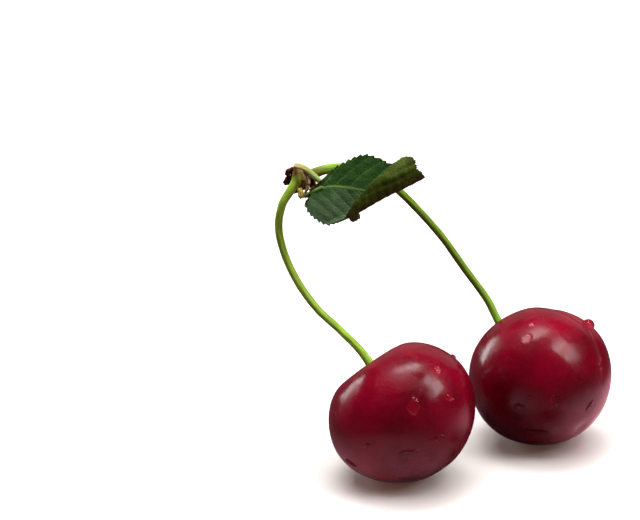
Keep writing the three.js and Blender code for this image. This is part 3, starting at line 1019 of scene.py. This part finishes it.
def leaf_skin(settings):
    """Cherry leaf, grown: a leathery film over a net of veins.

    The eye sees a dark green face with a cool half-gloss, paler veins that lie in it, a
    fine net between them, and an olive, duller under face.
    """
    finish, tree = new_finish("leathery_leaf_grown")
    flat = add_node(tree, "Attribute", attribute_name="flat").outputs["Vector"]
    vein = add_node(tree, "Attribute", attribute_name="vein").outputs["Fac"]
    under = add_node(tree, "Attribute", attribute_name="underside").outputs["Fac"]
    # clouds 3 mm across
    clouds = add_node(tree, "TexNoise", {"Vector": flat, "Scale": 0.35, "Detail": 4.0})
    cloud_part = add_node(
        tree, "MapRange", {"Value": clouds.outputs["Fac"], "From Min": 0.35, "From Max": 0.65}
    )
    # a net of cells 0.55 mm across
    net = add_node(tree, "TexVoronoi", {"Vector": flat, "Scale": 1.8}, feature="DISTANCE_TO_EDGE")
    net_part = add_node(
        tree,
        "MapRange",
        {"Value": net.outputs["Distance"], "From Max": 0.16, "To Min": 1.0, "To Max": 0.0},
    )
    # a painted grey sheen, standing for a reflection, lies on the half of the face next to the rolled margin
    across = add_node(tree, "SeparateXYZ", {"Vector": flat})
    sheen_side = add_node(tree, "MapRange", {"Value": across.outputs["Y"], "From Min": 1.0, "From Max": -2.5})
    painted_sheen_part, net_amount, vein_amount = (
        add_node(tree, "Math", {0: part, 1: amount}, operation="MULTIPLY").outputs[0]
        for part, amount in (
            (sheen_side.outputs[0], clouds.outputs["Fac"]), (net_part.outputs[0], 0.13), (vein, 0.5)
        )
    )
    cloudy = cloud_part.outputs[0]
    # name, how much of the second colour, and the two colours, or the names of earlier mixes
    mixes = {}
    for name, part, first, second in (
        ("clouded", cloudy, linear("#1d3812"), settings.upper_face[:]),
        # the upper face under its painted grey sheen
        ("upper", painted_sheen_part, "clouded", linear("#57664f")),
        ("lower", cloudy, linear("#2c3408"), settings.under_face[:]),
        ("face", under, "upper", "lower"),
        ("net", under, linear("#44683a"), linear("#3d421a")),
        ("netted", net_amount, "face", "net"),
        ("vein", under, linear("#7f9f52"), linear("#4a4f20")),
        ("veined", vein_amount, "netted", "vein"),
    ):
        colours = {6: mixes.get(first, first), 7: mixes.get(second, second)}
        mixes[name] = add_node(tree, "Mix", {0: part, **colours}, data_type="RGBA").outputs[2]
    height = add_node(tree, "Math", {0: net_part.outputs[0], 1: -1.0}, operation="MULTIPLY")
    bump = add_node(tree, "Bump", {"Height": height.outputs[0], "Strength": 0.35, "Distance": 0.0001})
    dull = add_node(tree, "MapRange", {"Value": under, "To Min": 0.4, "To Max": 0.6})
    shader = add_node(
        tree,
        "BsdfPrincipled",
        {
            "Base Color": mixes["veined"],
            "Roughness": dull.outputs[0],
            "IOR": 1.45,
            "Specular IOR Level": 0.22,
            "Normal": bump.outputs[0],
        },
    )
    add_node(tree, "OutputMaterial", {"Surface": shader.outputs[0]})
    return finish


class CHERRIES_OT_leaf(bpy.types.Operator):
    """Build the small leaf with its rolled margin"""

    bl_idname = "cherries.leaf"
    bl_label = "Leaf"

    def execute(self, context):
        settings = context.scene.cherry_leaf
        build_leaf(settings, leaf_skin(settings))
        return {"FINISHED"}


# ------------------------------------------------------------------ water drops

# Each drop: degrees round its fruit from the front to the right, degrees up, half width,
# half length and height in millimetres, and how far it is turned on the skin.
LEFT_DROPS = (
    (9, 28, 1.15, 1.55, 0.75, 8),
    (44, 51, 0.75, 0.75, 0.45, 0),
    (44, 29, 1.1, 0.7, 0.4, 20),
    (28, -1, 1.6, 0.45, 0.25, -10),
    (5, -12, 1.7, 0.8, 0.22, 0),
    (-53, -31, 1.2, 0.55, 0.3, 25),
    (-29, -7, 0.7, 0.5, 0.2, -40),
    (112, 42, 0.7, 0.4, 0.3, 0),
)
RIGHT_DROPS = (
    (-23, 52, 0.95, 1.1, 0.7, 20),
    (-24, 65, 0.5, 0.5, 0.35, 0),
    (100, 48, 1.35, 1.0, 1.0, 40),
    (-21, -3, 0.95, 0.65, 0.35, 0),
    (6, 3, 0.55, 1.2, 0.35, -25),
    (-13, 6, 0.4, 0.4, 0.2, 0),
    (-9, -29, 2.5, 0.6, 0.35, 6),
    (66, 27, 0.5, 0.6, 0.3, 0),
    (60, 21, 0.5, 0.6, 0.3, 0),
    (41, -8, 1.2, 0.4, 0.2, -50),
)


def build_drops(name, fruit, drops, fruit_settings, finish):
    """Low drops of water that follow the skin under them."""
    skin = bpy.data.objects["fruit_" + fruit["name"]]
    bpy.context.view_layer.update()
    tree = BVHTree.FromObject(skin, bpy.context.evaluated_depsgraph_get())
    centre = TO_FRAME @ fruit_place(fruit, fruit_settings).translation
    mesh = bmesh.new()
    for k, (around, up, half_width, half_length, height, turned) in enumerate(drops):
        a, e = math.radians(around), math.radians(up)
        out = Vector((math.sin(a) * math.cos(e), -math.cos(a) * math.cos(e), math.sin(e)))
        side = Vector((math.cos(a), math.sin(a), 0))
        rise = out.cross(side) * -1
        spin = math.radians(turned)
        across = side * math.cos(spin) + rise * math.sin(spin)
        lengthways = rise * math.cos(spin) - side * math.sin(spin)
        spot = tree.ray_cast(centre + out * 0.03, -out)[0]
        made = bmesh.ops.create_uvsphere(mesh, u_segments=40, v_segments=24, radius=1)
        for vertex in made["verts"]:
            p = vertex.co.copy()
            edge = 1 + 0.14 * uneven(p.x * 1.4, p.y * 1.4, 5.0 * k)
            over = spot + (across * p.x * half_width + lengthways * p.y * half_length) * edge * METRES
            under, normal, _, _ = tree.find_nearest(over)
            lift = height * p.z if p.z > 0 else 0.05 * p.z
            vertex.co = under + normal * lift * METRES
    piece = make_piece(name, mesh, None, finish, TO_FRAME.inverted())
    # clear drops let the lamps through to the skin under them
    piece.visible_shadow = False


def water():
    """Clean water, standing in drops on a waxy skin.

    The eye sees a small lens: a bright glint, a darker rim and the red skin through it.
    """
    finish, tree = new_finish("clean_water_drops")
    # painted shade: the tint darkens the skin seen through a drop, most towards the rim, where a drop bends
    # the view to the dark skin beside it
    edge = add_node(tree, "LayerWeight", {"Blend": 0.5})
    rim = add_node(tree, "MapRange", {"Value": edge.outputs["Facing"], "From Min": 0.25, "From Max": 0.8})
    painted_shade_tint = add_node(
        tree, "Mix", {0: rim.outputs[0], 6: linear("#e4caca"), 7: linear("#5c282c")}, data_type="RGBA"
    )
    shader = add_node(
        tree,
        "BsdfPrincipled",
        {"Base Color": painted_shade_tint.outputs[2], "Roughness": 0.03, "IOR": 1.33, "Transmission Weight": 1.0},
    )
    add_node(tree, "OutputMaterial", {"Surface": shader.outputs[0]})
    return finish


class CHERRIES_OT_drops(bpy.types.Operator):
    """Build the drops of water on the fruits"""

    bl_idname = "cherries.drops"
    bl_label = "Water drops"

    def execute(self, context):
        settings = context.scene.cherry_fruits
        finish = water()
        build_drops("water_on_left_fruit", FRUITS[0], LEFT_DROPS, settings, finish)
        build_drops("water_on_right_fruit", FRUITS[1], RIGHT_DROPS, settings, finish)
        return {"FINISHED"}


# ------------------------------------------------------------------ the stage

CAMERA_SPOT = (-0.0208, -0.4654, 0.2138)
# name, spot, width, height, power (the setting's, where there is none) and seen in gloss
LAMPS = (
    ("wide_overhead", (0.0, 0.15, 1.3), 1.6, 1.6, None, False),
    ("soft_box_top", (-0.04, 0.12, 0.75), 0.40, 0.14, 1.9, True),
    ("soft_box_right", (0.52, -0.18, 0.58), 0.28, 0.52, 2.7, True),
    ("soft_box_left", (-0.66, 0.46, 0.24), 0.20, 0.38, 1.6, True),
    ("wall_behind", (0.1, 1.3, 0.55), 2.2, 1.0, 1.9, True),
)
LIT_POINT = Vector((0.0, 0.0, 0.012))
WORLD_STRENGTH = 0.035
CARD_SIZE = 1.2
CARD_DEPTH = 0.0005
CARD_GLOW = 0.14
# The light of the card: the middle of each patch, where it starts and stops to fade, its
# value inside and outside, and how it joins what is there. It is brightest to the right of
# the pair and in front of the left fruit, and holds painted shadows under and between the fruits.
CARD_PATCHES = (
    ((0.040, 0.008), 0.010, 0.042, 1.35, 0.0, "ADD"),
    ((-0.010, -0.028), 0.004, 0.045, 0.7, 0.0, "ADD"),
    # painted shadows of the fruits on the table
    ((-0.0075, -0.0075), 0.005, 0.014, 0.12, 1.0, "MULTIPLY"),
    ((0.0163, 0.007), 0.005, 0.014, 0.12, 1.0, "MULTIPLY"),
    ((0.007, -0.001), 0.007, 0.017, 0.12, 1.0, "MULTIPLY"),
    ((0.020, -0.013), 0.002, 0.010, 0.12, 1.0, "MULTIPLY"),
)


def build_floor(settings):
    """A wide, plain, almost white floor with a slight gloss."""
    mesh = bmesh.new()
    bmesh.ops.create_grid(mesh, x_segments=8, y_segments=8, size=settings.floor_size / 2)
    finish, tree = new_finish("pale_acrylic_sheet_polished")
    shader = add_node(
        tree,
        "BsdfPrincipled",
        {
            "Base Color": linear("#f4efec"),
            "Roughness": 0.14,
            "IOR": 1.45,
            # a faint warm glow of its own: painted light that lifts the floor's shadows
            "Emission Color": linear("#ffc0a8"),
            "Emission Strength": 0.06,
        },
    )
    add_node(tree, "OutputMaterial", {"Surface": shader.outputs[0]})
    floor = as_object("floor", mesh, finish)
    # the pieces shine and are lit by the bounce card instead
    floor.visible_glossy = False
    floor.visible_diffuse = False
    floor.visible_transmission = False


def build_bounce_card():
    """A glowing card under the floor: the light that a pale table throws back near the fruits.

    Only the fruits' shine and shade see it, so it stands in for the floor's own light.
    """
    mesh = bmesh.new()
    bmesh.ops.create_grid(mesh, x_segments=2, y_segments=2, size=CARD_SIZE / 2)
    bmesh.ops.translate(mesh, vec=(0, 0, -CARD_DEPTH), verts=mesh.verts)
    finish, tree = new_finish("bounce_card_glowing")
    where = add_node(tree, "TexCoord").outputs["Object"]
    strength = CARD_GLOW
    for (x, y), inner, outer, inside, outside, joins in CARD_PATCHES:
        moved = add_node(tree, "Mapping", {"Vector": where, "Location": (-x, -y, 0.0)})
        away = add_node(tree, "VectorMath", {0: moved.outputs[0]}, operation="LENGTH")
        patch = add_node(
            tree,
            "MapRange",
            {
                "Value": away.outputs["Value"],
                "From Min": inner,
                "From Max": outer,
                "To Min": inside,
                "To Max": outside,
            },
            interpolation_type="SMOOTHSTEP",
        )
        joined = add_node(tree, "Math", {0: strength, 1: patch.outputs[0]}, operation=joins)
        strength = joined.outputs[0]
    light = add_node(tree, "Emission", {"Color": linear("#ffbccb"), "Strength": strength})
    add_node(tree, "OutputMaterial", {"Surface": light.outputs[0]})
    card = as_object("bounce_card", mesh, finish)
    card.visible_camera = False
    card.visible_shadow = False


def build_lamps(settings):
    """Soft light from overhead, and three soft boxes and a wall for the skin to mirror."""
    for name, spot, width, height, power, glossy in LAMPS:
        data = bpy.data.lights.new(name, "AREA")
        data.shape = "RECTANGLE"
        data.size = width
        data.size_y = height
        data.energy = settings.key_power if power is None else power
        lamp = bpy.data.objects.new(name, data)
        lamp.location = spot
        lamp.rotation_euler = (LIT_POINT - Vector(spot)).to_track_quat("-Z", "Y").to_euler()
        lamp.visible_glossy = glossy
        lamp.visible_camera = False
        bpy.context.scene.collection.objects.link(lamp)
    world = bpy.data.worlds.new("dim_studio")
    world.use_nodes = True
    sky = world.node_tree.nodes["Background"]
    sky.inputs["Color"].default_value = (1, 1, 1, 1)
    sky.inputs["Strength"].default_value = WORLD_STRENGTH
    bpy.context.scene.world = world


def build_camera(settings):
    """The camera, level from side to side and looking down at the pair."""
    data = bpy.data.cameras.new("camera")
    data.sensor_width = 36.0
    data.lens = settings.lens
    data.clip_start = 0.01
    data.clip_end = 20.0
    camera = bpy.data.objects.new("camera", data)
    camera.location = CAMERA_SPOT
    camera.rotation_euler = (math.pi / 2 - settings.drop, 0, 0)
    bpy.context.scene.collection.objects.link(camera)
    bpy.context.scene.camera = camera


class CHERRIES_OT_stage(bpy.types.Operator):
    """Build the floor, the lamps and the camera"""

    bl_idname = "cherries.stage"
    bl_label = "Stage"

    def execute(self, context):
        settings = context.scene.cherry_stage
        build_floor(settings)
        build_bounce_card()
        build_lamps(settings)
        build_camera(settings)
        context.scene.view_settings.view_transform = "Standard"
        return {"FINISHED"}


# ------------------------------------------------------------------ the add-on


class CHERRIES_PT_sidebar(bpy.types.Panel):
    """The pieces and their settings"""

    bl_idname = "CHERRIES_PT_sidebar"
    bl_label = "Cherries on stalks"
    bl_space_type = "VIEW_3D"
    bl_region_type = "UI"
    bl_category = "Cherries"

    def draw(self, context):
        for operator, group in STEPS:
            self.layout.operator(operator.bl_idname)
            if group:
                settings = getattr(context.scene, group)
                for key in settings.__annotations__:
                    self.layout.prop(settings, key)


GROUPS = {
    "cherry_fruits": FruitSettings,
    "cherry_stalks": StalkSettings,
    "cherry_leaf": LeafSettings,
    "cherry_stage": StageSettings,
}
STEPS = (
    (CHERRIES_OT_fruits, "cherry_fruits"),
    (CHERRIES_OT_stalks, "cherry_stalks"),
    (CHERRIES_OT_barren_stalk, None),
    (CHERRIES_OT_bud_base, None),
    (CHERRIES_OT_leaf, "cherry_leaf"),
    (CHERRIES_OT_drops, None),
    (CHERRIES_OT_stage, "cherry_stage"),
)


def register():
    for key, group in GROUPS.items():
        bpy.utils.register_class(group)
        setattr(bpy.types.Scene, key, PointerProperty(type=group))
    for operator, _ in STEPS:
        bpy.utils.register_class(operator)
    bpy.utils.register_class(CHERRIES_PT_sidebar)


def unregister():
    bpy.utils.unregister_class(CHERRIES_PT_sidebar)
    for operator, _ in reversed(STEPS):
        bpy.utils.unregister_class(operator)
    for key, group in reversed(GROUPS.items()):
        delattr(bpy.types.Scene, key)
        bpy.utils.unregister_class(group)


def main():
    register()
    low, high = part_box("cherry_left")
    middle = (Vector(low) + Vector(high)) / 2 / METRES
    if (middle - RESTING_POINT).xy.length > PLACE_TOLERANCE:
        raise RuntimeError("the left fruit isn't where these pieces are laid out from")
    bpy.ops.cherries.fruits()
    bpy.ops.cherries.stalks()
    bpy.ops.cherries.barren_stalk()
    bpy.ops.cherries.bud_base()
    bpy.ops.cherries.leaf()
    bpy.ops.cherries.drops()
    bpy.ops.cherries.stage()


if __name__ == "__main__":
    main()
